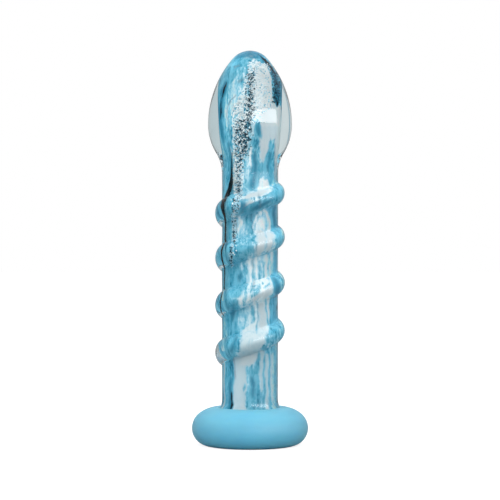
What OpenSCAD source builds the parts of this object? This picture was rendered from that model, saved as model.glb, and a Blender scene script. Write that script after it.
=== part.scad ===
// Glass wand with an egg-shaped head, a spiral ridge and a pull-off silicone base.
// Millimetres. +Z runs up the wand's axis, and the origin is the centre of the base's underside.

/* [Glass body] */
// Overall height, from the base's underside to the tip
total_height = 176; // [170:1:190]
// Diameter of the head at its widest
head_d = 37.4; // [34:0.1:40]
// Height of the head's widest point
head_z = 143; // [140:0.5:146]
// Radius of the head's side above its widest point
head_upper_r = 45; // [42:0.5:48]
// Radius of the head's side below its widest point
head_lower_r = 24; // [22:0.5:26]
// Height at which the neck runs into the shaft
neck_z = 121; // [119:0.5:123]
// Diameter of the shaft
shaft_d = 25; // [22:0.1:26]

/* [Glass foot] */
// Diameter of the flared foot inside the silicone base
foot_d = 43; // [41:0.5:44]
// Thickness of the foot
foot_h = 8.3; // [7.9:0.1:8.5]
// Radius of the hollow between the shaft and the foot
flare_r = 9; // [8.5:0.1:9.5]

/* [Marbled core] */
// Diameter of the core in the shaft
core_d = 17; // [12:0.2:18]
// Diameter of the core in the head
core_head_d = 19.2; // [16:0.2:20]
// Clear glass over the core at the tip
tip_cover = 2.6; // [2:0.1:5]

/* [Glass between core and casing] */
// Number of white and black glass chips
frit_count = 90; // [20:10:120]
// Size of the largest chip
frit_size = 1.1; // [0.6:0.1:1.4]
// Thickness of the dark thread
thread_d = 1.3; // [0.6:0.1:1.6]

/* [Spiral ridge] */
// Rise of the ridge in one turn
ridge_pitch = 20.3; // [19:0.1:21]
// Height of the ridge where it first crosses the +X side
ridge_top_z = 112.5; // [108:0.5:114]
// Turns of full-height ridge below that point
ridge_turns = 3.5; // [2.5:0.25:3.75]
// How far the ridge stands out of the shaft
ridge_h = 3; // [2:0.1:4]
// Width of the ridge along the shaft
ridge_w = 10; // [8:0.5:12]
// Drift of the hand-wound ridge from an even helix
ridge_drift = 0.9; // [0:0.1:1.5]

/* [Silicone base] */
// Diameter of the base
base_d = 51.8; // [51.6:0.1:54]
// Height of the base at the crest of its lip
base_h = 17.1; // [16.9:0.1:17.3]
// Height of the base's widest point
belly_z = 7.75; // [7.4:0.05:8]
// Radius of the base's side above its widest point
base_side_r = 8.3; // [8:0.1:8.5]
// Thickness of the base under the glass foot
base_floor = 3.95; // [3.8:0.05:4.1]

/* [Hidden] */

fit_gap = 0.25;           // around the glass foot in the cavity that holds it
lip_r = 0.6;              // rounding of the base's lip into its mouth
core_swell = [122, 144];  // heights between which the core widens into the head
ridge_sink = 0.4;         // how deep the ridge's glass is fused into the casing
ridge_tail = 0.2;         // turns over which each end of the ridge melts into the shaft
ridge_lean = 0.5;         // how much wider the ridge is on the -X side, and narrower on the +X side
ridge_side_lift = 0.6;    // how much higher the ridge crosses the -X side than an even helix
ridge_drift_turns = 5.5;  // turns in one wave of the ridge's drift
ridge_sides = 12;
rings_per_turn = 40;
frit_span = [78, 164];    // heights between which the chips lie
frit_start = -151;        // direction of the chips' band at its lower end
frit_spread = [5, 31];    // half width of the band in degrees, in the shaft and in the head
frit_seed = 11;
thread_span = [64, 125];  // heights between which the dark thread lies
thread_start = -202;      // direction of the thread at its lower end
thread_sides = 8;
thread_rings = 40;
inner_twist = 0.92;       // degrees that chips and thread wind round the core in each millimetre up
revolve_fn = 96;

head_r = head_d / 2;
shaft_r = shaft_d / 2;
foot_r = foot_d / 2;
foot_edge = foot_h / 2;
foot_c = [foot_r - foot_edge, base_floor + foot_edge];
core_r = core_d / 2;
core_head_r = core_head_d / 2;
base_r = base_d / 2;

// Radius of the tip's arc, tangent to the head's upper side.
head_rise = total_height - head_z;
upper_in = head_upper_r - head_r;
tip_r = (pow(head_upper_r, 2) - pow(upper_in, 2) - pow(head_rise, 2)) / (2 * (head_upper_r - head_rise));
tip_angle = asin((head_rise - tip_r) / (head_upper_r - tip_r));

// Radius of the neck's hollow, tangent to the head's lower side and to the shaft.
neck_rise = head_z - neck_z;
lower_in = head_lower_r - head_r;
neck_in = shaft_r + lower_in;
neck_r = (pow(neck_in, 2) + pow(neck_rise, 2) - pow(head_lower_r, 2)) / (2 * (head_lower_r - neck_in));
neck_angle = asin(neck_rise / (head_lower_r + neck_r));

// Hollow from the shaft down to the foot, tangent to the foot's rounded edge.
flare_x = shaft_r + flare_r;
flare_angle = acos((flare_x - foot_c[0]) / (flare_r + foot_edge));
flare_c = [flare_x, foot_c[1] + (flare_r + foot_edge) * sin(flare_angle)];

// The base's lip, tangent inside to the hollow that the mouth keeps fit_gap away from.
mouth_r = flare_r - fit_gap;
lip_z = base_h - lip_r;
lip_angle = asin((flare_c[1] - lip_z) / (mouth_r - lip_r));
crest_r = flare_x - (mouth_r - lip_r) * cos(lip_angle);

// Arc over the top of the base, tangent to its side and level at the crest.
top_rise = base_h - belly_z - base_side_r;
top_run = base_r - crest_r - base_side_r;
top_angle = 2 * atan(top_rise / top_run);
top_r = base_side_r + top_run / sin(top_angle);

// The cavity's rounded edge ends where it meets the floor under the foot.
floor_angle = asin(foot_edge / (foot_edge + fit_gap));

// Points of an arc about c = [radius, height], from angle a0 to a1.
function arc(c, r, a0, a1, n) =
    [for (i = [0:n]) let (a = a0 + (a1 - a0) * i / n) c + r * [cos(a), sin(a)]];

function ease(t) = let (s = min(max(t, 0), 1)) s * s * (3 - 2 * s);

// Radius of the marbled core at height z, below its rounded top.
function core_radius(z) =
    core_r + (core_head_r - core_r) * ease((z - core_swell[0]) / (core_swell[1] - core_swell[0]));

glass_outline = concat(
    [[0, base_floor]],
    arc(foot_c, foot_edge, -90, flare_angle, 20),
    arc(flare_c, flare_r, 180 + flare_angle, 180, 14),
    arc([shaft_r + neck_r, neck_z], neck_r, 180, 180 - neck_angle, 12),
    arc([head_r - head_lower_r, head_z], head_lower_r, -neck_angle, 0, 14),
    arc([head_r - head_upper_r, head_z], head_upper_r, 0, tip_angle, 24),
    arc([0, total_height - tip_r], tip_r, tip_angle, 90, 16)
);

core_top = total_height - tip_cover - core_head_r;
core_outline = concat(
    [[0, base_floor], [core_r, base_floor]],
    [for (z = [core_swell[0]:2:core_swell[1]]) [core_radius(z), z]],
    arc([0, core_top], core_head_r, 0, 90, 20)
);

base_outline = concat(
    [[0, 0]],
    arc([base_r - belly_z, belly_z], belly_z, -90, 0, 18),
    arc([base_r - base_side_r, belly_z], base_side_r, 0, 90 - top_angle, 12),
    arc([crest_r, base_h - top_r], top_r, 90 - top_angle, 90, 10),
    arc([crest_r, lip_z], lip_r, 90, 180 + lip_angle, 8),
    arc(flare_c, mouth_r, 180 + lip_angle, 180 + flare_angle, 10),
    arc(foot_c, foot_edge + fit_gap, flare_angle, -floor_angle, 20),
    [[0, base_floor]]
);

// u counts turns down the ridge from where it first crosses the +X side.
function ridge_z(u) =
    ridge_top_z - ridge_pitch * u
    + ridge_drift * sin(360 * u / ridge_drift_turns)
    + ridge_side_lift * (1 - cos(360 * u)) / 2;

function ridge_fullness(u) =
    ease((u + ridge_tail) / ridge_tail) * ease((ridge_turns + ridge_tail - u) / ridge_tail);

// Half an ellipse that stands on a flat just under the shaft's surface.
function ridge_section(u) =
    let (
        full = max(ridge_fullness(u), 0.08),
        half_w = (ridge_w / 2 - ridge_lean * cos(360 * u)) * (0.35 + 0.65 * full)
    )
    [for (i = [0:ridge_sides]) let (
        a = 180 * i / ridge_sides,
        r = shaft_r - ridge_sink + (ridge_h + ridge_sink) * full * sin(a)
    ) [r * cos(-360 * u), r * sin(-360 * u), ridge_z(u) + half_w * cos(a)]];

// t runs from the thread's upper end, at 0, to its lower end, at 1.
function thread_section(t) =
    let (
        z = thread_span[1] + (thread_span[0] - thread_span[1]) * t,
        angle = thread_start + inner_twist * (z - thread_span[0]),
        r = thread_d / 2 * (0.3 + 0.7 * ease(3 * t) * ease(2 - 2 * t)),
        c = core_radius(z) * [cos(angle), sin(angle)]
    )
    [for (i = [0:thread_sides - 1]) let (a = 360 * i / thread_sides) [c[0] + r * cos(a), c[1] + r * sin(a), z]];

module revolve(outline) {
    rotate_extrude($fn = revolve_fn) polygon(outline);
}

// Solid through a row of sections that all have the same number of points.
module skin(sections) {
    m = len(sections[0]);
    last = len(sections) - 1;
    walls = [for (k = [0:last - 1], i = [0:m - 1]) let (j = (i + 1) % m)
        [k * m + i, k * m + j, (k + 1) * m + j, (k + 1) * m + i]];
    caps = [[for (i = [m - 1:-1:0]) i], [for (i = [0:m - 1]) last * m + i]];
    polyhedron([for (section = sections) each section], concat(walls, caps), convexity = 10);
}

module marbled_core() {
    color([0.55, 0.8, 0.88]) revolve(core_outline);
}

// Crushed glass, half sunk in the core, in a band that winds up it and widens in the head.
module speckle_frit() {
    rise = frit_span[1] - frit_span[0];
    along = rands(0, 1, frit_count, frit_seed);
    across = rands(-1, 1, frit_count, frit_seed + 1);
    turn = rands(0, 180, frit_count, frit_seed + 2);
    color([0.93, 0.95, 0.96])
    for (i = [0:frit_count - 1]) {
        z = frit_span[0] + rise * along[i];
        spread = frit_spread[0] + (frit_spread[1] - frit_spread[0]) * ease(2 * along[i] - 0.75);
        angle = frit_start + inner_twist * rise * along[i] + spread * across[i];
        size = frit_size * (0.55 + 0.45 * abs(across[i]));
        rotate([0, 0, angle])
        translate([core_radius(z), 0, z])
        rotate([turn[i], 2 * turn[i], 0])
        cube([size, 0.8 * size, 0.6 * size], center = true);
    }
}

module dark_thread() {
    color([0.08, 0.15, 0.2]) skin([for (k = [0:thread_rings]) thread_section(k / thread_rings)]);
}

module clear_casing() {
    color([0.88, 0.94, 0.96, 0.4])
    difference() {
        revolve(glass_outline);
        revolve(core_outline);
    }
}

module spiral_ridge() {
    run = ridge_turns + 2 * ridge_tail;
    rings = ceil(run * rings_per_turn);
    color([0.75, 0.9, 0.95, 0.6])
    skin([for (k = [0:rings]) ridge_section(run * k / rings - ridge_tail)]);
}

module silicone_base() {
    color([0.42, 0.73, 0.86]) revolve(base_outline);
}

marbled_core();
speckle_frit();
dark_thread();
clear_casing();
spiral_ridge();
silicone_base();
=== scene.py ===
"""Glass wand with a spiral ridge on a silicone base. Metres, +Z up; the camera looks along +Y."""

import math

import bpy
import numpy as np
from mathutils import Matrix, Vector


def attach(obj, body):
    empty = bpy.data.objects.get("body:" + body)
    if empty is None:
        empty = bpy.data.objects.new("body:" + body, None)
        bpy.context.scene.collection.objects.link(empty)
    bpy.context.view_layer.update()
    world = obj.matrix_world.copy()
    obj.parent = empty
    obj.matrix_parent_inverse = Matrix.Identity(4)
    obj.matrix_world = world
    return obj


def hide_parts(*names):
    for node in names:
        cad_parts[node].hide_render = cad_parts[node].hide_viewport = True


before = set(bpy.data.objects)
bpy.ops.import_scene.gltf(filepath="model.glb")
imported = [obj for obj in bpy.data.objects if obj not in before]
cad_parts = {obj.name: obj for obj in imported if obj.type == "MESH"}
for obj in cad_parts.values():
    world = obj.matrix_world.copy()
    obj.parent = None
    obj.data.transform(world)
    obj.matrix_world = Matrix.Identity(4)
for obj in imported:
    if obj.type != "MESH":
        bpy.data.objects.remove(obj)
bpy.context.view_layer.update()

MM = 0.001

# The driving dimensions of the CAD model, in millimetres.
TOTAL_H = 176.0
HEAD_R, HEAD_Z, HEAD_UPPER_R, HEAD_LOWER_R = 18.7, 143.0, 45.0, 24.0
NECK_Z = 121.0
SHAFT_R = 12.5
FOOT_R, FOOT_H, FLARE_R = 21.5, 8.3, 9.0
BASE_R, BASE_H, BELLY_Z, BASE_SIDE_R, BASE_FLOOR = 25.9, 17.1, 7.75, 8.3, 3.95
FIT_GAP, LIP_R = 0.25, 0.6
RIDGE_PITCH, RIDGE_TOP_Z, RIDGE_TURNS, RIDGE_TAIL = 20.3, 112.5, 3.5, 0.2
RIDGE_H, RIDGE_W, RIDGE_LEAN, RIDGE_SIDE_LIFT = 3.0, 10.0, 0.5, 0.6
RIDGE_DRIFT, RIDGE_DRIFT_TURNS = 0.9, 5.5
RIDGE_END_W, RIDGE_SUNK, RIDGE_FALL, RIDGE_FILLET = 0.4, 0.8, 4, 0.7

# The glass, and the coloured core inside the clear casing.
GLASS_IOR = 1.47
CORE_R, CORE_HEAD_R = 8.5, 9.6
CORE_SWELL_Z, CORE_SWELL_H = 122.0, 22.0
WAIST_Z, WAIST_REACH, WAIST_DEPTH = 127.0, 7.0, 0.5
TIP_COVER = 2.6             # clear glass over the core at the tip
CORE_FOOT_COVER = 1.2       # and under it in the foot
CORE_RIDGE_SHARE = 1.9      # how much of the ridge's height the core follows at the front
CORE_LEFT_SHARE = 0.12      # and on the left, where the ridge is clear glass
CORE_LEFT_TURN, CORE_FULL_TURN = 12, 54   # degrees off the left between which the share grows
THREAD_LIFT = 1.6           # the dark thread over the core
THREAD_RIDGE_SHARE = 0.9    # how much of the ridge's height the thread follows

COLUMNS = 288               # points round the axis

# The camera, in millimetres.
EYE = np.array([0.0, -800.0, 87.1])
LENS, SENSOR_W, NEAR_CLIP = 129.1, 36, 50

# The floor, and the dark cards beside the glass: how far out, from front to back and from foot to
# top, in millimetres.
FLOOR_SIDE = 6000.0
FLAG_X, FLAG_Y, FLAG_Z = 400, (-60, 70), (1, 400)
FLAG_GREY = (0.16, 0.19, 0.21, 1)


# ---------------------------------------------------------------- camera, lamps and dark cards

def add_camera():
    camera = bpy.data.objects.new("camera", bpy.data.cameras.new("camera"))
    camera.data.lens = LENS
    camera.data.sensor_width = SENSOR_W
    camera.data.clip_start = NEAR_CLIP * MM
    camera.location = EYE * MM
    camera.rotation_euler = (math.pi / 2, 0, 0)
    bpy.context.collection.objects.link(camera)
    bpy.context.scene.camera = camera


def add_softbox(name, place, aim, size, watts, mirrored):
    """A lamp. A mirrored one shows only as a reflection, and the other only lights the colours."""
    data = bpy.data.lights.new(name, "AREA")
    data.shape = "RECTANGLE"
    data.size, data.size_y = size
    data.energy = watts
    lamp = bpy.data.objects.new(name, data)
    lamp.location = place
    lamp.rotation_euler = (Vector(aim) - Vector(place)).to_track_quat("-Z", "Y").to_euler()
    lamp.visible_diffuse = not mirrored
    lamp.visible_glossy = mirrored
    lamp.visible_transmission = False
    bpy.context.collection.objects.link(lamp)


def add_flag(name, x):
    """A dark card beside the glass, which draws the dark line along its edge."""
    (front, rear), (foot, top) = FLAG_Y, FLAG_Z
    corners = [(x, front, foot), (x, rear, foot), (x, rear, top), (x, front, top)]
    card = link_mesh(name, corners, [(0, 1, 2, 3)])
    s = Shader(name)
    card.data.materials.append(s.finish(s.principled(Base_Color=FLAG_GREY, Roughness=1.0)))
    card.visible_camera = card.visible_diffuse = card.visible_shadow = False


# ---------------------------------------------------------------- shader helpers

class Nodes:
    """A node tree, with short calls for its nodes."""

    def __init__(self, tree):
        self.tree = tree
        tree.nodes.clear()

    def feed(self, socket, value):
        if isinstance(value, bpy.types.NodeSocket):
            self.tree.links.new(value, socket)
        else:
            socket.default_value = value

    def node(self, kind, inputs=None, out=0, **settings):
        """Adds a node, feeds its inputs and gives the output that out names."""
        node = self.tree.nodes.new(kind)
        for key, value in settings.items():
            setattr(node, key, value)
        for key, value in (inputs or {}).items():
            self.feed(node.inputs[key], value)
        return node.outputs[out]

    def coordinates(self, kind="Object"):
        return self.node("ShaderNodeTexCoord", out=kind)

    def component(self, vector, axis):
        return self.node("ShaderNodeSeparateXYZ", {0: vector}, axis)

    def light_path(self, kind):
        return self.node("ShaderNodeLightPath", out=kind)

    def math(self, operation, a, b, c=0.0):
        return self.node("ShaderNodeMath", {0: a, 1: b, 2: c}, operation=operation)

    def vector_math(self, operation, a, b=(0, 0, 0)):
        return self.node("ShaderNodeVectorMath", {0: a, 1: b}, operation=operation)

    def scaled(self, vector, by):
        return self.vector_math("MULTIPLY", vector, by)

    def shifted(self, vector, by):
        return self.vector_math("ADD", vector, by)

    def noise(self, vector, scale, detail, roughness, out=0):
        return self.node("ShaderNodeTexNoise", {
            "Vector": vector, "Scale": scale, "Detail": detail, "Roughness": roughness,
        }, out)

    def attribute(self, name):
        return self.node("ShaderNodeAttribute", out="Fac", attribute_name=name)

    def step(self, value, low, high):
        """A smooth step from 0 at low to 1 at high."""
        return self.node("ShaderNodeMapRange", {
            "Value": value, "From Min": low, "From Max": high,
        }, interpolation_type="SMOOTHSTEP")

    def mix(self, factor, a, b):
        """Mixes two colours."""
        node = self.tree.nodes.new("ShaderNodeMix")
        node.data_type = "RGBA"
        for socket, value in zip((node.inputs[0], node.inputs[6], node.inputs[7]), (factor, a, b)):
            self.feed(socket, value)
        return node.outputs[2]

    def mix_shaders(self, factor, a, b):
        node = self.tree.nodes.new("ShaderNodeMixShader")
        for socket, value in zip(node.inputs, (factor, a, b)):
            self.feed(socket, value)
        return node.outputs[0]

    def ramp(self, factor, stops):
        """A colour ramp from (place, colour) stops."""
        node = self.tree.nodes.new("ShaderNodeValToRGB")
        self.feed(node.inputs[0], factor)
        while len(node.color_ramp.elements) < len(stops):
            node.color_ramp.elements.new(0.5)
        for element, (place, colour) in zip(node.color_ramp.elements, stops):
            element.position, element.color = place, colour
        return node.outputs[0]

    def end(self, kind, surface):
        """Ends the tree in an output node of this kind."""
        self.feed(self.tree.nodes.new(kind).inputs["Surface"], surface)


class Shader(Nodes):
    """A material."""

    def __init__(self, name):
        self.material = bpy.data.materials.new(name)
        self.material.use_nodes = True
        super().__init__(self.material.node_tree)

    def bump(self, height, distance, strength):
        return self.node("ShaderNodeBump", {
            "Height": height, "Distance": distance, "Strength": strength,
        })

    def principled(self, **inputs):
        """A principled shader. An underscore in an input's name stands for a space."""
        return self.node("ShaderNodeBsdfPrincipled", {
            name.replace("_", " "): value for name, value in inputs.items()
        })

    def finish(self, surface):
        self.end("ShaderNodeOutputMaterial", surface)
        return self.material


def srgb(red, green, blue):
    """A colour given as 0 to 255 on a screen, as the shader wants it."""
    channels = [c / 255 for c in (red, green, blue)]
    return tuple(c / 12.92 if c <= 0.04045 else ((c + 0.055) / 1.055) ** 2.4 for c in channels) + (1.0,)


CLEAR = srgb(253, 255, 255)
WHITE = srgb(252, 254, 254)
GREY_WHITE = srgb(228, 240, 244)
PALE = srgb(168, 214, 230)
PALE_GREY = srgb(182, 202, 210)
LIGHT_BLUE = srgb(118, 192, 214)
BLUE = srgb(76, 165, 192)
DEEP_BLUE = srgb(34, 118, 150)
DARK = srgb(12, 30, 38)
VEIN = srgb(104, 138, 156)
SMOKE = srgb(210, 216, 219)
SEAM = srgb(150, 184, 198)

# What the clear glass shows of the studio, on its left and on its right.
SEEN_LEFT, SEEN_RIGHT = (0.62, 0.70, 0.715, 1.0), (0.47, 0.57, 0.60, 1.0)
SEEN_LINE = (0.14, 0.33, 0.44, 1.0)
SEEN_STOPS = [
    (0.045, SEEN_LEFT), (0.056, SEEN_LINE), (0.070, SEEN_LINE), (0.085, SEEN_LEFT), (0.9, SEEN_RIGHT),
]
# What lights the studio, at the horizon and overhead.
SKY_LOW, SKY_HIGH, SKY_STRENGTH = (0.66, 0.69, 0.70, 1), (1, 1, 1, 1), 0.55
FLOOR_GLOW = 0.88        # how brightly the floor glows, for the camera only


# ---------------------------------------------------------------- shapes

def ease(t):
    t = np.clip(t, 0, 1)
    return t * t * (3 - 2 * t)


def arc(centre, radius, start, end, count):
    """Points of an arc about centre = (radius, height), from angle start to end in degrees."""
    angles = np.radians(np.linspace(start, end, count + 1))
    return np.column_stack([centre[0] + radius * np.cos(angles), centre[1] + radius * np.sin(angles)])


def line(start, end, count):
    """Points from start to end, without both ends."""
    t = np.linspace(0, 1, count + 2)[1:-1, None]
    return np.array(start) + (np.array(end) - np.array(start)) * t


def foot_and_flare():
    """Centres of the foot's rounded edge and of the hollow above it, and the angle where they meet."""
    edge = FOOT_H / 2
    foot = np.array([FOOT_R - edge, BASE_FLOOR + edge])
    meet = math.degrees(math.acos((SHAFT_R + FLARE_R - foot[0]) / (FLARE_R + edge)))
    flare = np.array([SHAFT_R + FLARE_R, foot[1] + (FLARE_R + edge) * math.sin(math.radians(meet))])
    return foot, flare, meet


def glass_outline():
    """The casing's outline from the middle of its foot to the tip, without the ridge."""
    foot, flare, meet = foot_and_flare()
    inward = SHAFT_R + HEAD_LOWER_R - HEAD_R
    rise = HEAD_Z - NECK_Z
    neck_r = (inward**2 + rise**2 - HEAD_LOWER_R**2) / (2 * (HEAD_LOWER_R - inward))
    neck_angle = math.degrees(math.asin(rise / (HEAD_LOWER_R + neck_r)))
    upper_in, head_rise = HEAD_UPPER_R - HEAD_R, TOTAL_H - HEAD_Z
    tip_r = (HEAD_UPPER_R**2 - upper_in**2 - head_rise**2) / (2 * (HEAD_UPPER_R - head_rise))
    tip_angle = math.degrees(math.asin((head_rise - tip_r) / (HEAD_UPPER_R - tip_r)))
    return np.vstack([
        [[0, BASE_FLOOR]],
        line((0, BASE_FLOOR), (foot[0], BASE_FLOOR), 6),
        arc(foot, FOOT_H / 2, -90, meet, 30),
        arc(flare, FLARE_R, 180 + meet, 180, 60)[1:],
        line((SHAFT_R, flare[1]), (SHAFT_R, NECK_Z), 600),
        arc((SHAFT_R + neck_r, NECK_Z), neck_r, 180, 180 - neck_angle, 24),
        arc((HEAD_R - HEAD_LOWER_R, HEAD_Z), HEAD_LOWER_R, -neck_angle, 0, 40)[1:],
        arc((HEAD_R - HEAD_UPPER_R, HEAD_Z), HEAD_UPPER_R, 0, tip_angle, 60)[1:],
        arc((0, TOTAL_H - tip_r), tip_r, tip_angle, 90, 24)[1:],
    ])


def base_outline():
    """The silicone base's outline: underside, side, lip, then down the mouth into the cavity."""
    foot, flare, meet = foot_and_flare()
    mouth_r, lip_z = FLARE_R - FIT_GAP, BASE_H - LIP_R
    lip_angle = math.degrees(math.asin((flare[1] - lip_z) / (mouth_r - LIP_R)))
    crest_r = flare[0] - (mouth_r - LIP_R) * math.cos(math.radians(lip_angle))
    run = BASE_R - crest_r - BASE_SIDE_R
    top_angle = 2 * math.degrees(math.atan((BASE_H - BELLY_Z - BASE_SIDE_R) / run))
    top_r = BASE_SIDE_R + run / math.sin(math.radians(top_angle))
    edge = FOOT_H / 2
    floor_angle = math.degrees(math.asin(edge / (edge + FIT_GAP)))
    return np.vstack([
        [[0, 0]],
        line((0, 0), (BASE_R - BELLY_Z, 0), 10),
        arc((BASE_R - BELLY_Z, BELLY_Z), BELLY_Z, -90, 0, 40),
        arc((BASE_R - BASE_SIDE_R, BELLY_Z), BASE_SIDE_R, 0, 90 - top_angle, 28)[1:],
        arc((crest_r, BASE_H - top_r), top_r, 90 - top_angle, 90, 20)[1:],
        arc((crest_r, lip_z), LIP_R, 90, 180 + lip_angle, 16)[1:],
        arc(flare, mouth_r, 180 + lip_angle, 180 + meet, 20)[1:],
        arc(foot, edge + FIT_GAP, meet, -floor_angle, 30)[1:],
        line((foot[0], BASE_FLOOR), (0, BASE_FLOOR), 6),
        [[0, BASE_FLOOR]],
    ])


GLASS_OUTLINE = glass_outline()


def casing_radius(z):
    """Radius of the casing without its ridge, from the shaft up."""
    above = GLASS_OUTLINE[GLASS_OUTLINE[:, 1] > 2 * BASE_H]
    return np.interp(z, above[:, 1], above[:, 0])


def core_radius(z):
    """Radius of the marbled core without its ridge."""
    swell = CORE_R + (CORE_HEAD_R - CORE_R) * ease((z - CORE_SWELL_Z) / CORE_SWELL_H)
    swell = swell - WAIST_DEPTH * np.exp(-(((z - WAIST_Z) / WAIST_REACH) ** 2))
    into_tip = np.clip((z - (TOTAL_H - TIP_COVER - CORE_HEAD_R)) / CORE_HEAD_R, 0, 1)
    return swell * np.sqrt(1 - into_tip**2)


def ridge_height(angle, z):
    """How far the ridge stands out of the shaft. angle is in degrees from +X."""
    height = np.zeros(np.broadcast(angle, z).shape)
    for turn in range(-1, 5):
        u = turn - angle / 360
        centre = (
            RIDGE_TOP_Z - RIDGE_PITCH * u
            + RIDGE_DRIFT * np.sin(2 * np.pi * u / RIDGE_DRIFT_TURNS)
            + RIDGE_SIDE_LIFT * (1 - np.cos(2 * np.pi * u)) / 2
        )
        full = ease((u + RIDGE_TAIL) / RIDGE_TAIL) * ease((RIDGE_TURNS + RIDGE_TAIL - u) / RIDGE_TAIL)
        half_w = RIDGE_W / 2 - RIDGE_LEAN * np.cos(2 * np.pi * u)
        half_w = half_w * (RIDGE_END_W + (1 - RIDGE_END_W) * full)
        across = np.abs(z - centre) / half_w
        crown = (RIDGE_H + RIDGE_SUNK) * np.sqrt(np.clip(1 - across**2, 0, 1)) - RIDGE_SUNK
        crown = crown - RIDGE_FALL * np.clip(across - 1, 0, 1)
        soft = RIDGE_FILLET * np.log1p(np.exp(np.clip(crown * full / RIDGE_FILLET * 2, -30, 30))) / 2
        height = np.maximum(height, soft * full)
    return height


def link_mesh(name, points, faces):
    mesh = bpy.data.meshes.new(name)
    mesh.from_pydata(np.asarray(points) * MM, [], faces)
    mesh.validate()
    mesh.shade_smooth()
    piece = bpy.data.objects.new(name, mesh)
    bpy.context.collection.objects.link(piece)
    return piece


def turned_shell(name, outline, columns, widen=None):
    """A closed skin from an outline that starts and ends on the axis.

    widen(angle, z, radius) gives how much further out each point lies.
    """
    angles = np.linspace(0, 360, columns, endpoint=False)
    radius = np.repeat(outline[1:-1, :1], columns, axis=1)
    height = np.repeat(outline[1:-1, 1:], columns, axis=1)
    if widen:
        radius = radius + widen(angles[None, :], height, radius)
    turn = np.radians(angles)[None, :]
    rings = np.stack([radius * np.cos(turn), radius * np.sin(turn), height], axis=2).reshape(-1, 3)
    points = np.vstack([[[0, 0, outline[0, 1]]], rings, [[0, 0, outline[-1, 1]]]])
    rows, top = len(outline) - 2, len(points) - 1
    faces = []
    for c in range(columns):
        d = (c + 1) % columns
        faces.append((0, 1 + d, 1 + c))
        for r in range(rows - 1):
            a = 1 + r * columns
            faces.append((a + c, a + d, a + columns + d, a + columns + c))
        last = 1 + (rows - 1) * columns
        faces.append((last + c, last + d, top))
    return link_mesh(name, points, faces)


# ---------------------------------------------------------------- marbling

def full_core_radius(angle, z):
    """Radius of the core with its ridge. angle is in degrees to the right of the front."""
    return core_radius(z) + ridge_share(angle - 90) * ridge_height(angle - 90, z)


def skin_radius(angle, z):
    """Radius of the casing with its ridge. angle is in degrees to the right of the front."""
    return casing_radius(z) + ridge_height(angle - 90, z)


def outside(points, radius_at):
    """How far outside a turned surface each point lies."""
    x, y, z = np.moveaxis(points, -1, 0)
    return np.hypot(x, y) - radius_at(np.degrees(np.arctan2(x, -y)), z)


def meeting(start, way, radius_at, reach, count=160):
    """Where each ray first enters a turned surface, or else where it passes nearest to it."""
    steps, step = np.linspace(0, reach, count, retstep=True)
    gap = outside(start[:, None, :] + way[:, None, :] * steps[None, :, None], radius_at)
    enters = (gap < 0).any(axis=1)
    after = np.where(enters, (gap < 0).argmax(axis=1), gap.argmin(axis=1))
    rows = np.arange(len(gap))
    out, within = gap[rows, np.maximum(after - 1, 0)], gap[rows, after]
    back = np.where(enters & (after > 0), within / np.minimum(within - out, -1e-9), 0)
    return start + way * (steps[after] - step * back)[:, None]


def thread_radius(angle, z):
    """Radius at which the dark thread lies. angle is in degrees to the right of the front."""
    return core_radius(z) + THREAD_LIFT + THREAD_RIDGE_SHARE * ridge_height(angle - 90, z)


def look_through(x, z, radius_at=full_core_radius):
    """Angle and height, on the core or another surface inside the casing, of what looks x mm to the
    right of the axis and z mm high.

    Each line of sight is bent where it enters the casing and followed to the surface.
    """
    sight = np.stack([x, np.zeros(len(x)), z], axis=1) - EYE
    sight /= np.linalg.norm(sight, axis=1, keepdims=True)
    reach = 1.5 * SHAFT_R + HEAD_R   # from in front of the glass to its axis
    entry = meeting(EYE + sight * (-EYE[1] - reach), sight, skin_radius, reach)
    nudges = 0.02 * np.eye(3)
    normal = np.stack([
        outside(entry + nudge, skin_radius) - outside(entry - nudge, skin_radius) for nudge in nudges
    ], axis=1)
    normal /= np.linalg.norm(normal, axis=1, keepdims=True)
    facing = np.clip(-(sight * normal).sum(axis=1, keepdims=True), 0, 1)
    deep = np.sqrt(1 - (1 - facing**2) / GLASS_IOR**2)
    bent = sight / GLASS_IOR + (facing / GLASS_IOR - deep) * normal
    found = meeting(entry, bent, radius_at, 2 * HEAD_R)
    return np.degrees(np.arctan2(found[:, 0], -found[:, 1])), found[:, 2]


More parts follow.
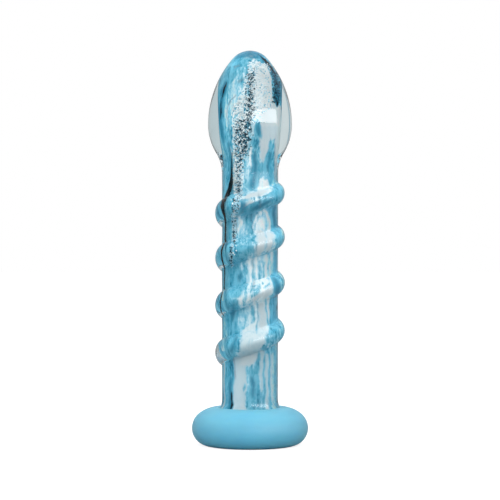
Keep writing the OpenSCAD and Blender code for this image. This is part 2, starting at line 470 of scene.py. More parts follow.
# Strokes of colour: each point is (height, how far right it looks from the front, half width), in mm.
STROKES = {
    "pale": [
        [(170, -2, 1.5), (171.5, -0.5, 2.2), (173.2, 0, 1.2)],
        [(163.5, -4.5, 1.6), (168.8, -3.6, 1.6)],
        [(150, -8, 0.6), (153, -8, 1.6), (156, -6.8, 2.6), (161.5, -6.4, 3.0), (163.2, -5.4, 1.5)],
        [(130, -8.6, 0.5), (138, -9.2, 0.8), (146, -10, 0.9), (151, -9.4, 1.2)],
        [(111, -1.2, 0.8), (124, -1.0, 0.9), (133, -0.8, 0.6)],
        [(121, 6.6, 0.5), (126, 5.6, 0.5), (130, 6, 1.6), (135, 6.5, 2.5)],
        # A pale wash over the first ridge's top, part of its painted highlight band.
        [(110, -3, 4), (112.5, 1, 5), (115, 6, 4), (117, 8.5, 1)],
        [(95, -4, 2.6), (100, -4.2, 2.6), (104, -3.4, 1.8)],
        [(94, 5.5, 4), (101, 5.5, 3.2), (106, 5.4, 1.2)],
        [(87.4, -6, 1), (88.4, -4, 3), (89.8, 0, 3), (91.2, 3, 1)],
        [(84.6, 3.2, 0.6), (86, 4.6, 2.4), (88, 6.4, 4.4), (90.5, 7.4, 5.4), (93, 7.8, 5.4),
         (95, 7.4, 4.2), (96, 6.4, 1.8)],
        [(64.6, -6.4, 1.0), (67, -5, 1.8), (69, -3, 3.4), (71.4, 1, 3), (73, 4, 1)],
        [(75.6, -3.2, 0.8), (78.4, -3.6, 1.6), (81.6, -4, 0.8)],
        [(68, 4.5, 6), (84, 5, 6.2)],
        [(63, 0.5, 5), (68, 2, 5), (73, 4, 4)],
        [(50, -2.4, 2.2), (64, -2, 2.6)],
        [(14, 8, 4.2), (40, 8, 4.2)],
    ],
    "white": [
        [(143, 9, 4), (150, 8, 5.4), (157, 6, 5.0), (166, 5, 4.6), (169, 4, 3.4), (171.6, 2.4, 1.4)],
        [(119.5, 0.5, 0.1), (126, 0.55, 0.4), (133, 0.6, 0.3)],
        [(113.5, 6.0, 2.6), (117, 5.8, 2.7), (118.5, 5.7, 2.5)],
        [(117, 3.6, 1), (121.5, 3.4, 0.1)],
        [(117, 8, 1), (122, 8.2, 0.1)],
        # Partly the glass's own white and partly painted highlight: the pale band along the first
        # ridge's upper edge.
        [(109.6, -5.3, 0.3), (110.4, -3, 2.6), (111.2, 0.2, 3.2), (112, 5.2, 3.6), (112.8, 6.9, 3.8),
         (113.6, 8.3, 2.6), (114.4, 10.0, 0.7)],
        [(105, 3.0, 0.5), (110, 3.2, 0.6), (113, 3.0, 0.5)],
        [(95, 4.4, 2.3), (98, 4.6, 1.7), (101.5, 4.9, 0.3)],
        [(94, 9.2, 0.5), (100, 8.2, 0.4), (104, 6.6, 0.5), (105.6, 5.4, 0.6)],
        [(97, 1.4, 0.3), (101, 2.6, 0.35), (105, 4.4, 0.5)],
        [(96, -5, 0.5), (99, -3.6, 0.8), (102, -4.4, 0.5)],
        [(86, 3.4, 0.4), (89, 4.4, 0.9), (93, 4.8, 1.1), (95.6, 5, 0.8)],
        [(89, 8.4, 0.5), (91.5, 8.8, 0.9), (94.5, 8.4, 0.8)],
        [(64, -0.2, 0.5), (74, -0.1, 0.55), (84, 0.1, 0.5)],
        [(70, 2.9, 0.3), (84, 2.9, 0.6)],
        [(70, 7.3, 0.6), (85, 7.3, 0.5)],
        [(70, 9.4, 0.5), (86, 9.4, 0.5)],
        [(65, 5, 1), (68, 6.8, 3.0), (72, 7.8, 2.4), (73.5, 7, 1)],
        [(72.4, 1.6, 1.6), (73.6, 4.5, 3), (74.6, 7, 1)],
        [(63, -4.6, 1.0), (66, -4, 0.6), (69, -3, 0.6)],
        [(48, 5.2, 3.3), (66, 5.2, 3.5)],
        [(39, -1, 3.4), (42, -0.6, 4.4), (46, 1.0, 5.6), (51, 2.4, 5.4), (54, 3.4, 3)],
        [(13, -4.6, 2.7), (39, -4.4, 2.8)],
        [(36, 0.6, 0.3), (40, 1.0, 1.0)],
        [(24, 5.0, 0.3), (33, 5.2, 0.6), (42, 5.4, 0.9)],
        [(13, 7.6, 0.4), (26, 7.5, 0.5), (40, 7.4, 0.8)],
        [(20, 9.7, 0.5), (40, 9.5, 0.6)],
        [(13, -11.8, 0.8), (42, -11.8, 0.7)],
    ],
    "smoke": [
        [(134, 4.8, 0.3), (137, 8, 4.2), (141, 9.2, 4.4), (146, 9.5, 4.6), (151, 10, 4)],
        [(126, 5.7, 0.1), (130, 6.2, 1.2), (135, 6.5, 2.6)],
        [(119, 12.2, 1.2), (124, 12.2, 1.4), (134, 12.2, 1.5), (142, 13, 1.5)],
        [(104, -3.4, 0.6), (106.5, -1.4, 1.8), (109, 0.6, 1.2)],
        # Greys the painted highlight band on the first ridge.
        [(110.4, -1.6, 1.8), (112, 3.0, 3.4), (113.4, 6.6, 3.0)],
        [(36, -1.6, 2.6), (39.4, 0.2, 3.4)],
        [(66, 7, 0.8), (68.4, 8, 1.4), (71.4, 8.6, 1.2)],
        [(64.6, 2.4, 0.6), (66.4, 4, 1.6), (67.8, 5.6, 1.0)],
        [(52, 5.4, 1.2), (57, 5.4, 1.7), (63, 5.2, 1.5)],
        [(85, 3.2, 0.9), (88, 4.4, 1.9), (92, 5.0, 2.1), (95.6, 5, 1.6)],
        [(87, 7.8, 0.9), (90, 8.8, 1.6), (93.5, 9.2, 1.8), (95.4, 8.4, 1.3)],
    ],
    "blue": [
        [(151.4, 12.0, 0.5), (153, 12.2, 1.4), (156, 12.2, 2.1), (160, 12.0, 2.1), (164, 11.0, 1.8),
         (167, 9.7, 1.4), (170, 8.0, 1.2), (173.4, 5.2, 1.0)],
        [(169.3, -3, 6), (171, 0, 10), (173, 0, 10)],
        [(161.8, -11, 2.6), (165, -9.6, 3.6), (169, -8.4, 3.0), (171, -6, 2)],
        [(111, -9.6, 1.9), (117, -9.5, 1.7), (121, -9.2, 1.3), (125, -9.6, 1.4), (131, -10.1, 1.5),
         (136, -10.9, 1.7), (141, -12.2, 1.5), (148.8, -12.7, 1.4), (157, -12.2, 1.5),
         (162, -11.6, 1.4)],
        [(137.4, 4.4, 0.4), (139.6, 4.1, 1.2), (142.8, 3.9, 1.1)],
        [(114.4, 1.2, 1.8), (116.4, 1.6, 2.4), (122, 2.3, 2.4), (127, 2.6, 1.6), (131.4, 2.4, 0.1)],
        [(119, 8.3, 2.1), (125, 8.4, 2.1), (131, 8.9, 1.4), (136.8, 9.1, 0.1)],
        [(115.8, 8.8, 0.6), (118.5, 8.9, 1.1), (121, 9, 0.8)],
        [(121, 5.6, 2.6), (124, 5.6, 2.0), (126, 5.5, 0.5)],
        [(103.5, -2, 3), (105.5, 1, 5), (108, 5.5, 5.4), (110.5, 9, 3.2), (113, 11.3, 1.4)],
        [(95.5, 11.4, 1.4), (103, 10.7, 2.4), (109, 10.6, 2.2)],
        [(91, -9.2, 1.2), (104, -9.3, 1.3), (111, -9, 1.4)],
        [(99.5, 1.2, 0.8), (102, 0.4, 1.2), (104.6, -0.6, 1.0)],
        [(82, -5, 3.4), (86, -4, 3.6), (88.5, -2.5, 3.6)],
        [(62, -9.8, 1.6), (67, -10.4, 1.2), (72, -9.6, 1.8), (92, -9.2, 1.8)],
        [(66.4, -6.2, 2.6), (70, -5.4, 3.0), (74, -5.6, 2.8), (79, -6.6, 2.0), (83, -6.4, 2.5)],
        [(70, 11.2, 0.8), (86, 11.3, 0.8)],
        [(88, 13.2, 1.0), (92, 13.4, 1.2), (97, 12.0, 1.0)],
        [(109.5, 12.6, 1.3), (112, 12.8, 1.8), (115, 12.6, 1.6), (116.5, 12, 0.8)],
        [(68, 11.8, 1.6), (76, 11.4, 1.8)],
        [(50, -8, 2.6), (64, -8, 2.8)],
        [(50, 10.6, 1.7), (66, 10.6, 1.8)],
        [(51, 3.0, 0.2), (58, 3.3, 0.3), (64, 3.6, 0.2)],
        [(53, 7.8, 0.2), (59, 7.5, 0.3), (65, 7.2, 0.2)],
        [(38, -9, 1.8), (48, -8.4, 2.6), (51, -6.6, 2)],
        [(49.5, 10.2, 1.4), (56, 10.6, 2.2)],
        [(46.5, 8.6, 0.8), (49.4, 9, 1.2)],
        [(13, -9.2, 1.9), (40, -9.3, 1.9)],
        [(13, 2.2, 3.0), (20, 2, 2.6), (28, 1.7, 2.0), (33, 1.0, 1.2), (35.5, 0.8, 0.1)],
        [(28, 3.2, 0.5), (35, 3.4, 0.8), (41, 3.7, 0.4)],
        [(13, 11.6, 0.7), (42, 11.6, 0.8)],
        [(67.6, 3.0, 0.4), (69, 3.2, 1.0), (70.4, 3.4, 0.3)],
        [(70.6, 6.4, 0.3), (71.6, 7.6, 0.6), (72.4, 8.6, 0.3)],
        [(24, -2.8, 0.2), (25.6, -2.8, 0.4), (27.2, -2.7, 0.15)],
        [(13, 5.8, 0.5), (24, 6.2, 0.45), (40, 6.4, 0.35)],
        [(13, 8.9, 0.5), (30, 8.7, 0.35), (41, 8.6, 0.3)],
    ],
    "deep": [
        [(155, -12.4, 0.5), (158.5, -11.9, 1.1), (161.8, -11.1, 0.8)],
        [(145, -13.2, 0.6), (149.3, -13.0, 1.2), (153, -12.6, 0.7), (156, -12.4, 0.4)],
        [(136, -11.6, 0.4), (141, -12.6, 0.7), (145, -13.2, 0.5)],
        [(174.8, 0, 6), (180, 0, 12)],
        [(163, 11.6, 0.8), (167, 9.9, 1.2), (170, 8.0, 1.2), (173.4, 5.2, 1.0)],
        [(152, 12.4, 0.7), (158, 12.6, 0.8), (162, 12.4, 0.5)],
        [(115.4, 1.4, 0.7), (118, 1.4, 0.9), (121, 1.2, 0.3)],
        [(104.6, -3.6, 1.0), (106.5, -3.8, 1.6), (108.6, -4, 0.7)],
        [(98, 11.1, 0.4), (102, 10.7, 0.7), (106, 10.9, 0.5)],
        [(73.6, -4.7, 0.3), (75, -4.6, 0.8), (76.4, -4.5, 0.3)],
        [(66.6, 12, 0.8), (70, 12, 1.2), (74, 11.8, 0.8)],
        [(56, -7.8, 0.5), (63, -7.6, 0.5)],
        [(42, -8.4, 0.5), (47.6, -6.6, 0.6)],
        [(13, -8.4, 1.0), (20, -8.4, 0.9), (30, -8.8, 0.4)],
        [(22, 1.2, 0.4), (30, 1.0, 0.6)],
        [(118, -8.4, 0.5), (126, -8.6, 0.5), (135, -9, 0.4)],
        [(120, 1.8, 0.5), (126, 2.4, 0.8), (131, 2.3, 0.3)],
        [(122, 8.3, 0.2), (126, 8.6, 0.4), (130, 8.9, 0.2)],
        # Painted shade: a deep-blue band along the first ridge's lower edge.
        [(105, 0.4, 0.6), (106.4, 3.0, 2.0), (108, 6.6, 1.8), (109.4, 9.6, 0.8)],
        [(138, 3.8, 0.3), (141, 3.9, 0.8), (143, 3.8, 0.4)],
    ],
    "dark": [
        [(165.5, 11.0, 0.2), (167.5, 10.0, 0.35), (170, 8.4, 0.5), (172.6, 6, 0.4), (174, 4.4, 0.2)],
        [(154.6, -12.5, 0.08), (157.4, -12.0, 0.2), (159.6, -11.6, 0.3), (161.8, -10.9, 0.12)],
        [(145.8, -13.3, 0.08), (148.6, -13.0, 0.24), (150.4, -12.8, 0.12), (153.4, -12.7, 0.06)],
        [(143.8, -2.9, 0.4), (144.5, -2.3, 0.7), (145.2, -1.8, 0.3)],
        [(151.6, 12.1, 0.3), (153, 12.4, 0.5), (154, 12.8, 0.2)],
        [(15, -8.0, 0.35), (24, -8.0, 0.2)],
    ],
    "vein": [
        [(137, -8.7, 0.15), (144, -9.8, 0.25), (147, -10.2, 0.3), (151, -9.8, 0.3), (154, -8.4, 0.35),
         (155.6, -6.6, 0.3)],
        [(161.9, -4.6, 0.8), (162.7, -3.6, 1.2), (163.4, -2.8, 0.5)],
        [(168.4, -6.6, 0.5), (169.1, -6.0, 1.6), (169.6, -5.2, 0.4)],
        [(118, 11.0, 0.2), (134, 11.0, 0.2)],
        [(96, -5.8, 0.15), (100, -6.2, 0.2), (103, -4.6, 0.2), (104, -3, 0.15)],
        [(106, 4.2, 0.12), (112.6, 4.4, 0.15)],
        [(70, 1.4, 0.12), (83, 1.5, 0.15)],
        [(30, -6.9, 0.12), (39, -6.9, 0.12)],
    ],
    "speckle": [
        [(144, 0, 1), (146, -1, 5), (149, 0, 8), (151, 1.4, 8.6), (155, 2.4, 7.6), (160, 3.2, 6.4),
         (164, 3.4, 5.2), (167, 2.8, 4.0), (169.6, 2.2, 3.2), (171.6, 1.6, 1.6)],
        [(111, -5.1, 2.0), (120, -5.0, 2.4), (126, -5.0, 2.6), (130, -4.6, 3.1), (133, -4.1, 3.7),
         (137, -3.8, 4.3), (143, -3, 5.2), (148, -2, 6), (151, -1, 6)],
        [(80, -8.4, 0.5), (88, -8, 0.6), (94, -7.2, 0.9), (104, -6.8, 1.1), (110, -5.6, 1.6),
         (112, -5.2, 1.8)],
    ],
    "soot": [
        [(144, -1.6, 1.3), (150, -0.8, 1.8), (156, -0.4, 1.9), (160, 0.2, 1.6), (168, 1.2, 1.6)],
        [(111, -4.8, 0.8), (120, -4.8, 1.0), (129, -4.3, 1.8), (133, -3.8, 3.1), (138, -3.2, 3.9),
         (145, -2.6, 3.6)],
        [(80, -8.4, 0.4), (88, -8, 0.5), (94, -7.2, 0.5), (104, -6.8, 0.6), (110, -5.6, 0.8)],
        [(152, 12.2, 0.8), (155, 12.4, 1.7), (160, 12.1, 1.7), (164, 11.2, 1.5), (167, 9.9, 1.2),
         (172, 6.6, 0.9)],
    ],
}
BACK_DROP = 6.0          # how much lower the same strokes lie on the back
BACK_FROM = 96.0         # where the back begins, in degrees from the front
FIELD_LIMIT = 3.0        # how far from a stroke's edge its field still changes, in mm
STROKE_OVER = 0.6        # how far a stroke runs past its first and last heights
END_ZONE = 4.0           # how much of each end is rounded, in mm
END_ROUND = 1.0          # how round the ends are
END_MAKEUP = 0.25        # gives back some of what the rounding takes


def astray(angle, z):
    """Angle and height moved a little in waves, so that no stroke has a straight edge."""
    return (
        angle + 1.8 * np.sin(0.4 * z + angle / 30) + 0.8 * np.sin(1.1 * z - angle / 14),
        z + 0.2 * np.sin(angle / 13 + 0.3) + 0.1 * np.sin(angle / 5 - z / 4),
    )


def stroke_field(strokes, angle, z, on_back):
    """How deep inside the nearest stroke each point lies, in mm along the core; negative outside.

    angle is in degrees to the right of the front, from -180 to 180. With on_back, the strokes come
    again half a turn on, mirrored and BACK_DROP lower.
    """
    angle, z = astray(angle, z)
    field = np.full(angle.shape, -FIELD_LIMIT)
    per_degree = np.pi / 180 * np.maximum(core_radius(z), 2)
    back = 180 - angle % 360
    behind = (np.abs(angle) - BACK_FROM) * per_degree
    copies = ((angle, 0.0, FIELD_LIMIT), (back, BACK_DROP, behind))[:2 if on_back else 1]
    for stroke in strokes:
        marks = np.array(stroke, float).T
        heights = np.linspace(marks[0, 0], marks[0, -1], 3 + int(2 * (marks[0, -1] - marks[0, 0])))
        seen, half = (np.interp(heights, marks[0], row) for row in marks[1:])
        low, low_z = look_through(seen - half, heights)
        high, high_z = look_through(seen + half, heights)
        low_z, high_z = np.maximum.accumulate(low_z), np.maximum.accumulate(high_z)
        for turned, drop, limit in copies:
            level = z + drop
            side = np.minimum(
                turned - np.interp(level, low_z, low), np.interp(level, high_z, high) - turned
            ) * per_degree
            bottom = np.interp(turned, (low[0], high[0]), (low_z[0], high_z[0]))
            top = np.interp(turned, (low[-1], high[-1]), (low_z[-1], high_z[-1]))
            ends = np.minimum(level - bottom, top - level) + STROKE_OVER
            rounded = (side + ends - np.sqrt((side - ends) ** 2 + END_ROUND)) / 2
            inside = np.where(ends > END_ZONE, side, rounded + END_MAKEUP)
            field = np.maximum(field, np.minimum(inside, limit))
    return np.clip(field, -FIELD_LIMIT, FIELD_LIMIT)


def store_fields(piece):
    """Keeps each layer's stroke field on the core's points, for its material."""
    count = len(piece.data.vertices)
    points = np.empty(count * 3)
    piece.data.vertices.foreach_get("co", points)
    x, y, z = points.reshape(-1, 3).T / MM
    angle = np.degrees(np.arctan2(x, -y))
    fields = {
        name: stroke_field(strokes, angle, z, on_back=name != "dark")
        for name, strokes in STROKES.items()
    }
    # How far each point is turned to the side, for the painted light on the core's sides.
    fields["painted_side_light"] = np.sin(np.radians(angle)) ** 2
    for name, values in fields.items():
        layer = piece.data.attributes.new(name, "FLOAT", "POINT")
        layer.data.foreach_set("value", values.astype(np.float32))


def core_outline():
    """The core spreads into the foot under the hollow, and ends in a dome under the tip."""
    foot, flare, meet = foot_and_flare()
    bottom, top = BASE_FLOOR + CORE_FOOT_COVER, TOTAL_H - TIP_COVER
    hollow = arc(flare, FLARE_R, 180 + meet, 180, 30)
    hollow[:, 0] = CORE_R + 0.9 * (hollow[:, 0] - SHAFT_R)
    rim, depth = hollow[0, 0], hollow[0, 1] - bottom
    under = arc((0, 0), 1, -90, 0, 24) * (rim, depth) + (0, hollow[0, 1])
    heights = np.linspace(hollow[-1, 1], top - CORE_HEAD_R, 400)
    body = np.column_stack([core_radius(heights), heights])
    dome = arc((0, top - CORE_HEAD_R), CORE_HEAD_R, 0, 90, 60)
    return np.vstack([[[0, bottom]], under[1:-1], hollow[:-1], body, dome[1:-1], [[0, top]]])


def ridge_share(angle):
    """How much of the ridge's height the core follows. angle is in degrees from +X."""
    off_left = np.abs(np.mod(angle, 360) - 180)
    grown = ease((off_left - CORE_LEFT_TURN) / (CORE_FULL_TURN - CORE_LEFT_TURN))
    return CORE_LEFT_SHARE + (CORE_RIDGE_SHARE - CORE_LEFT_SHARE) * grown


def core_widen(angle, z, radius):
    """The core's ridge, and a slight waviness that dies away towards the axis."""
    wave = 0.10 * np.sin(np.radians(3 * angle + 9 * z)) + 0.08 * np.sin(np.radians(5 * angle - 14 * z))
    calm = ease(radius / CORE_R)
    return ridge_share(angle) * ridge_height(angle, z) + wave * calm


def skin_widen(angle, z, radius):
    """The ridge, and a slighter waviness on the shaft, where the glass was worked."""
    wave = 0.04 * np.sin(np.radians(5 * angle + 16 * z)) + 0.03 * np.sin(np.radians(8 * angle - 23 * z))
    calm = ease((z - 2 * BASE_H) / 10) * ease((NECK_Z + 7 - z) / 10)
    return ridge_height(angle, z) + wave * calm


THREAD = [
    (57, -11.6, 0.12), (60, -13.0, 0.2), (64, -13.3, 0.25), (67, -12.6, 0.22), (70, -11.5, 0.2),
    (76, -11.2, 0.22), (79.2, -11.4, 0.3), (82.6, -12.4, 0.35), (86.1, -12.8, 0.35), (88.5, -12.2, 0.4),
    (90.6, -11.1, 0.4), (95, -10.9, 0.35), (101.5, -11.0, 0.4), (103, -11.5, 0.6), (106, -12.3, 0.85),
    (108.4, -12.1, 0.75), (110.9, -10.6, 0.85), (113, -9.5, 0.95), (115.4, -8.7, 1.0), (118, -8.4, 0.7),
    (120, -8.2, 0.45), (124, -8.1, 0.25), (131, -8.0, 0.12),
]


def on_core(angle, z, lift, radius_at=full_core_radius):
    """Points lift mm over the core, or over another turned surface."""
    radius = radius_at(angle, z) + lift
    turn = np.radians(angle)
    return np.stack([radius * np.sin(turn), -radius * np.cos(turn), z], axis=-1)


def smoothed(values, reach):
    """Running mean over reach values each way."""
    padded = np.pad(values, reach, mode="edge")
    return np.convolve(padded, np.full(2 * reach + 1, 1 / (2 * reach + 1)), mode="valid")


def ribbon(name, path, rings, sides):
    """A flat thread of glass over the core, along a path like a stroke's."""
    heights, seen, half = np.array(path, float).T
    z = np.linspace(heights[0], heights[-1], rings)
    along = np.interp(z, heights, seen)
    wide = np.interp(z, heights, half) * (1 + 0.3 * np.sin(1.9 * z) + 0.2 * np.sin(4.3 * z))
    left = [smoothed(row, 4)[:, None] for row in look_through(along - wide, z, thread_radius)]
    right = [smoothed(row, 4)[:, None] for row in look_through(along + wide, z, thread_radius)]
    round_about = np.linspace(0, 2 * np.pi, sides, endpoint=False)[None, :]
    across = (1 + np.cos(round_about)) / 2
    angle, height = (low + (high - low) * across for low, high in zip(left, right))
    lift = (0.12 + 0.2 * wide[:, None]) * np.sin(round_about)
    points = on_core(angle, height, lift, thread_radius).reshape(-1, 3)
    faces = [tuple(range(sides))[::-1], tuple(range((rings - 1) * sides, rings * sides))]
    for r in range(rings - 1):
        for c in range(sides):
            d = (c + 1) % sides
            faces.append((r * sides + c, r * sides + d, (r + 1) * sides + d, (r + 1) * sides + c))
    return link_mesh(name, points, faces)


# Where chips lie: (lowest, highest, from, to, how many), heights and how far right they look, in mm.
WHITE_CHIPS = [
    (151, 171, -2, 9.6, 640), (147, 152, -2, 7, 90), (143, 156, -8, 2, 200), (129, 144, -8, 0, 200),
    (111, 129, -7.4, -2.8, 150), (84, 110, -8.6, -5.6, 50),
]
DARK_CHIPS = [
    (129, 145, -7.5, 1, 230), (145, 166, -2.6, 2.6, 150), (111, 129, -6.5, -3.3, 80),
    (90, 110, -8, -6, 60), (80, 90, -9, -7.6, 20), (153, 170, 9.4, 13.4, 120),
]


def chips(name, zones, smallest, largest, seed):
    """Crushed glass on the core: small boxes with their corners pushed about."""
    rng = np.random.default_rng(seed)
    corners = np.array([(x, y, z) for x in (-1, 1) for y in (-1, 1) for z in (-1, 1)], float)
    box_faces = [(0, 1, 3, 2), (4, 6, 7, 5), (0, 4, 5, 1), (2, 3, 7, 6), (0, 2, 6, 4), (1, 5, 7, 3)]
    points, faces = [], []
    for low, high, left, right, count in zones:
        z = rng.uniform(low, high, count)
        middle, half = (left + right) / 2, (right - left) / 2
        seen = middle + half * rng.triangular(-1, 0, 1, count)
        angle, height = look_through(seen, z)
        centres = on_core(angle, height, rng.uniform(0.0, 0.35, count))
        for centre in centres:
            longest = rng.uniform(smallest, largest)
            size = longest * np.array([1, rng.uniform(0.5, 0.9), rng.uniform(0.4, 0.8)]) / 2
            turn, _ = np.linalg.qr(rng.normal(size=(3, 3)))
            turn[:, 0] *= np.sign(np.linalg.det(turn))
            first = len(points)
            points.extend(centre + (corners * size * rng.uniform(0.6, 1.1, corners.shape)) @ turn.T)
            faces.extend(tuple(first + i for i in face) for face in box_faces)
    piece = link_mesh(name, points, faces)
    piece.data.shade_flat()
    return piece


# ---------------------------------------------------------------- materials

def clear_glass():
    """Clear glass that doesn't shade what is inside it."""
    s = Shader("clear_glass")
    place = s.coordinates()
    ripple = s.noise(s.scaled(place, (1, 1, 0.4)), 90, 2.0, 0.5)
    across, height = s.component(place, "X"), s.component(place, "Z")
    # The worked shaft is less glossy than the head, except along its left edge above the lowest part.
    worked = s.step(height, (NECK_Z + 6) * MM, (NECK_Z - 2) * MM)
    worked = s.math("MULTIPLY", worked, s.step(across, -10.5 * MM, -6 * MM))
    worked = s.math("MAXIMUM", s.math("MULTIPLY", s.step(height, 32 * MM, 18 * MM), 0.25), worked)
    glass = s.principled(
        Base_Color=CLEAR, Roughness=s.math("MULTIPLY_ADD", worked, 0.24, 0.02), IOR=GLASS_IOR,
        Transmission_Weight=1.0, Normal=s.bump(ripple, 0.00002, 0.2),
    )
    unshaded = s.node("ShaderNodeBsdfTransparent", {"Color": CLEAR})
    return s.finish(s.mix_shaders(s.light_path("Is Shadow Ray"), glass, unshaded))


def marbled_glass():
    """The core's colours: a blue wash, the strokes over it, then the frit, dark bits and veins, and
    painted light on its sides.
    """
    s = Shader("marbled_glass")
    place = s.scaled(s.coordinates(), (1 / MM,) * 3)
    drift = s.noise(s.scaled(place, (1, 1, 0.3)), 0.22, 3.0, 0.6, out="Color")
    warped = s.shifted(place, s.scaled(s.shifted(drift, (-0.5, -0.5, -0.5)), (3.0, 3.0, 7)))
    cloud = s.noise(s.scaled(warped, (1, 1, 0.4)), 0.33, 4.0, 0.6)
    streak = s.noise(s.scaled(warped, (1, 1, 0.1)), 0.75, 3.0, 0.5)
    mottle = s.noise(s.scaled(warped, (1, 1, 0.45)), 1.3, 4.0, 0.65)
    hair = s.noise(s.scaled(warped, (1, 1, 0.05)), 2.6, 2.0, 0.5)
    wash = s.math("MULTIPLY_ADD", mottle, 0.33, s.math("MULTIPLY", cloud, 0.3))
    wash = s.math("MULTIPLY_ADD", streak, 0.38, wash)
    wash = s.math("MULTIPLY_ADD", hair, 0.2, s.math("SUBTRACT", wash, 0.055))
    ragged = s.math("MULTIPLY_ADD", s.math("ADD", streak, mottle), 2.4, -2.4)

    def mask(name, soft, raggedness):
        """1 inside the strokes of this name and 0 outside."""
        edge = s.math("MULTIPLY_ADD", ragged, raggedness, s.attribute(name))
        return s.step(edge, -soft, soft)

    colour = s.ramp(wash, [
        (0.42, DEEP_BLUE), (0.49, BLUE), (0.55, LIGHT_BLUE), (0.61, PALE), (0.68, GREY_WHITE),
    ])
    pales = s.ramp(wash, [(0.44, BLUE), (0.5, LIGHT_BLUE), (0.56, PALE), (0.63, GREY_WHITE)])
    colour = s.mix(s.math("MULTIPLY", mask("pale", 0.6, 0.9), 0.85), colour, pales)
    whites = s.ramp(wash, [(0.37, LIGHT_BLUE), (0.44, PALE), (0.51, GREY_WHITE), (0.63, WHITE)])
    low_down = s.step(s.component(place, "Z"), 63, 40)
    whites = s.mix(s.math("MULTIPLY", low_down, 0.8), whites, PALE_GREY)
    colour = s.mix(mask("white", 0.45, 0.4), colour, whites)
    colour = s.mix(s.math("MULTIPLY", mask("smoke", 0.6, 0.5), 0.9), colour, SMOKE)
    blues = s.ramp(wash, [(0.42, DEEP_BLUE), (0.50, BLUE), (0.60, LIGHT_BLUE)])
    colour = s.mix(mask("blue", 0.4, 0.5), colour, blues)
    colour = s.mix(s.math("MULTIPLY", mask("deep", 0.7, 0.8), 0.8), colour, DEEP_BLUE)

    # The frit: each grain is a cell, with a chance of its own to be white, blue or dark.
    grains = s.scaled(s.shifted(place, s.scaled(drift, (1.5, 1.5, 3))), (1.35, 1.35, 1))
    cells = s.node("ShaderNodeTexVoronoi", {"Vector": grains, "Scale": 1.5}, "Color")
    within = s.node("ShaderNodeTexVoronoi", {"Vector": grains, "Scale": 1.5}, "Distance")
    pick, dark_pick, kind = (
        s.node("ShaderNodeSeparateColor", {0: cells}, out) for out in ("Red", "Green", "Blue")
    )
    specks = s.ramp(pick, [
        (0.0, WHITE), (0.58, WHITE), (0.68, GREY_WHITE), (0.78, PALE), (0.88, LIGHT_BLUE), (0.96, BLUE),
    ])
    specks = s.mix(s.math("MULTIPLY", s.step(within, 0.42, 0.62), 0.16), specks, SEAM)
    specks = s.mix(s.math("MULTIPLY", s.step(mottle, 0.55, 0.66), 0.6), specks, VEIN)
    soot = s.step(s.math("MULTIPLY_ADD", ragged, 0.9, s.attribute("soot")), -1.2, 1.6)
    specks = s.mix(s.math("MULTIPLY", soot, 0.75), specks, LIGHT_BLUE)
    specks = s.mix(s.math("MULTIPLY", soot, 0.3), specks, BLUE)
    speckle = s.step(s.math("MULTIPLY_ADD", ragged, 0.9, s.attribute("speckle")), -0.3, 0.5)
    colour = s.mix(s.math("MULTIPLY", speckle, 0.9), colour, specks)
    sooty = s.step(s.math("MULTIPLY_ADD", soot, 0.66, dark_pick), 1.0, 1.05)
    sooty = s.math("MULTIPLY", sooty, s.step(within, 0.66, 0.46))
    colour = s.mix(sooty, colour, s.mix(s.step(kind, 0.35, 0.75), DARK, DEEP_BLUE))
    colour = s.mix(mask("dark", 0.25, 0.35), colour, DARK)
    colour = s.mix(s.math("MULTIPLY", mask("vein", 0.45, 0.3), 0.6), colour, VEIN)

    # Painted light: the core's sides are painted paler, standing in for the light that the casing bends
    # round to them.
    lift = s.math("MULTIPLY_ADD", s.attribute("painted_side_light"), 0.45, 1.0)
    colour = s.vector_math("MINIMUM", s.scaled(colour, lift), (0.96, 0.96, 0.96))
    return s.finish(s.principled(Base_Color=colour, Roughness=0.6, Specular_IOR_Level=0.0))


def chip_glass(name, darker, lighter):
    """Opaque glass that varies between two tones."""
    s = Shader(name)
    tone = s.noise(s.coordinates(), 900, 2.0, 0.6)
    return s.finish(s.principled(
        Base_Color=s.ramp(tone, [(0.35, darker), (0.65, lighter)]), Roughness=0.5,
        Specular_IOR_Level=0.0,
    ))


def blue_silicone():
    """Matte silicone, with painted light: brighter and deeper blue near the floor."""
    s = Shader("blue_silicone")
    place = s.coordinates()
    grain = s.noise(place, 2600, 2.0, 0.5)
    cloud = s.noise(place, 60, 3.0, 0.5)
    upper = s.ramp(cloud, [(0.35, srgb(102, 174, 201)), (0.65, srgb(108, 180, 206))])
    # Painted light: this lower colour, brighter and bluer, stands in for light on the silicone near the
    # floor.
    lower = s.ramp(cloud, [(0.35, srgb(104, 198, 236)), (0.65, srgb(109, 203, 240))])
    colour = s.mix(s.step(s.component(place, "Z"), 1 * MM, 11 * MM), lower, upper)
    return s.finish(s.principled(
        Base_Color=colour, Roughness=0.52, IOR=1.41, Sheen_Weight=0.06, Sheen_Roughness=0.4,
        Subsurface_Weight=0.7, Subsurface_Radius=(0.6, 0.8, 1.0), Subsurface_Scale=0.012,
        Normal=s.bump(grain, 0.00003, 0.5),
    ))


def seen_studio(nodes, across):
    """The colour of the studio through the clear glass. across runs from -1 at the left to 1."""
    return nodes.ramp(nodes.math("MULTIPLY_ADD", across, 0.5, 0.5), SEEN_STOPS)


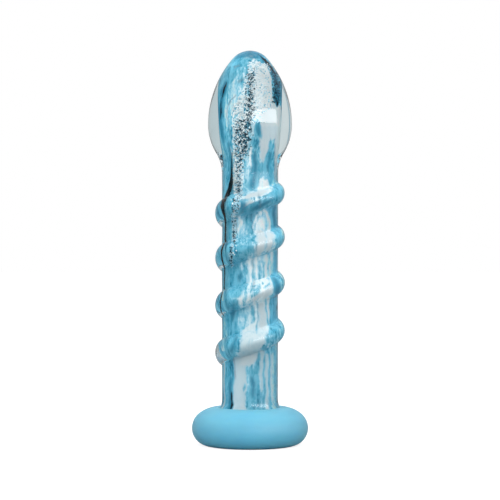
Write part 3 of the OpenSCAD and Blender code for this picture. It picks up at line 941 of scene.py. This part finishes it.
def floor_white():
    """A pale floor, which the camera sees as white and the clear glass as the studio's grey."""
    s = Shader("floor_white")
    place = s.coordinates()
    tone = s.noise(place, 3, 2.0, 0.5)
    colour = s.ramp(tone, [(0.3, (0.34, 0.34, 0.34, 1)), (0.7, (0.36, 0.36, 0.36, 1))])
    lit = s.principled(Base_Color=colour, Roughness=0.9, Specular_IOR_Level=0.0)
    to_camera = s.math("MULTIPLY", s.light_path("Is Camera Ray"), FLOOR_GLOW)
    glow = s.node("ShaderNodeEmission", {"Strength": to_camera})
    both = s.node("ShaderNodeAddShader", {0: lit, 1: glow})
    across = s.component(s.vector_math("NORMALIZE", place), "X")
    through = s.node("ShaderNodeEmission", {"Color": seen_studio(s, across)})
    return s.finish(s.mix_shaders(s.light_path("Is Transmission Ray"), both, through))


# ---------------------------------------------------------------- the scene

def add_world():
    """A pale studio, which the camera sees as white and the clear glass as grey."""
    world = bpy.data.worlds.new("studio")
    bpy.context.scene.world = world
    world.use_nodes = True
    sky = Nodes(world.node_tree)
    way = sky.coordinates("Generated")
    shade = sky.ramp(sky.component(way, "Z"), [(0.0, SKY_LOW), (0.9, SKY_HIGH)])
    light = sky.node("ShaderNodeBackground", {"Color": shade, "Strength": SKY_STRENGTH})
    seen = seen_studio(sky, sky.component(way, "X"))
    through = sky.node("ShaderNodeBackground", {"Color": seen})
    white = sky.node("ShaderNodeBackground", {"Color": (1, 1, 1, 1)})
    unseen = sky.mix_shaders(sky.light_path("Is Transmission Ray"), light, through)
    sky.end("ShaderNodeOutputWorld", sky.mix_shaders(sky.light_path("Is Camera Ray"), unseen, white))


def add_floor():
    side = FLOOR_SIDE
    corners = [(-side, -side, 0), (side, -side, 0), (side, side, 0), (-side, side, 0)]
    floor = link_mesh("floor", corners, [(0, 1, 2, 3)])
    floor.data.materials.append(floor_white())


bpy.context.scene.view_settings.view_transform = "Standard"
add_camera()
add_world()
add_floor()
add_softbox(
    "right_softbox", place=(0.67, -0.74, 0.3405), aim=(0, 0, 0.3405), size=(1.5, 0.281), watts=11,
    mirrored=True,
)
add_softbox(
    "front_softbox", place=(0, -0.78, 1.0), aim=(0, 0, 0.09), size=(1.0, 1.0), watts=17.8,
    mirrored=False,
)
add_flag("left_flag", -FLAG_X)
add_flag("right_flag", FLAG_X)

skin = turned_shell("glass_skin", GLASS_OUTLINE, COLUMNS, skin_widen)
skin.data.materials.append(clear_glass())
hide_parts("clear_casing", "spiral_ridge")
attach(skin, "glass")

core = turned_shell("marbled_core_glass", core_outline(), COLUMNS, core_widen)
store_fields(core)
core.data.materials.append(marbled_glass())
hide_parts("marbled_core")
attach(core, "glass")

thread = ribbon("dark_thread_glass", THREAD, 240, 12)
thread.data.materials.append(chip_glass("dark_glass", srgb(0, 10, 14), srgb(10, 40, 50)))
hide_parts("dark_thread")
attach(thread, "glass")

white_chips = chips("frit_white", WHITE_CHIPS, 0.3, 0.8, 7)
white_chips.data.materials.append(chip_glass("white_frit", srgb(236, 245, 248), srgb(254, 255, 255)))
dark_chips = chips("frit_dark", DARK_CHIPS, 0.3, 0.8, 8)
dark_chips.data.materials.append(chip_glass("dark_frit", srgb(8, 22, 28), srgb(44, 104, 128)))
for piece, slot in ((white_chips, "white_frit"), (dark_chips, "dark_glass")):
    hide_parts("speckle_frit")
    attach(piece, "glass")

base = turned_shell("silicone_base_soft", base_outline(), COLUMNS)
base.data.materials.append(blue_silicone())
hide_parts("silicone_base")
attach(base, "base")
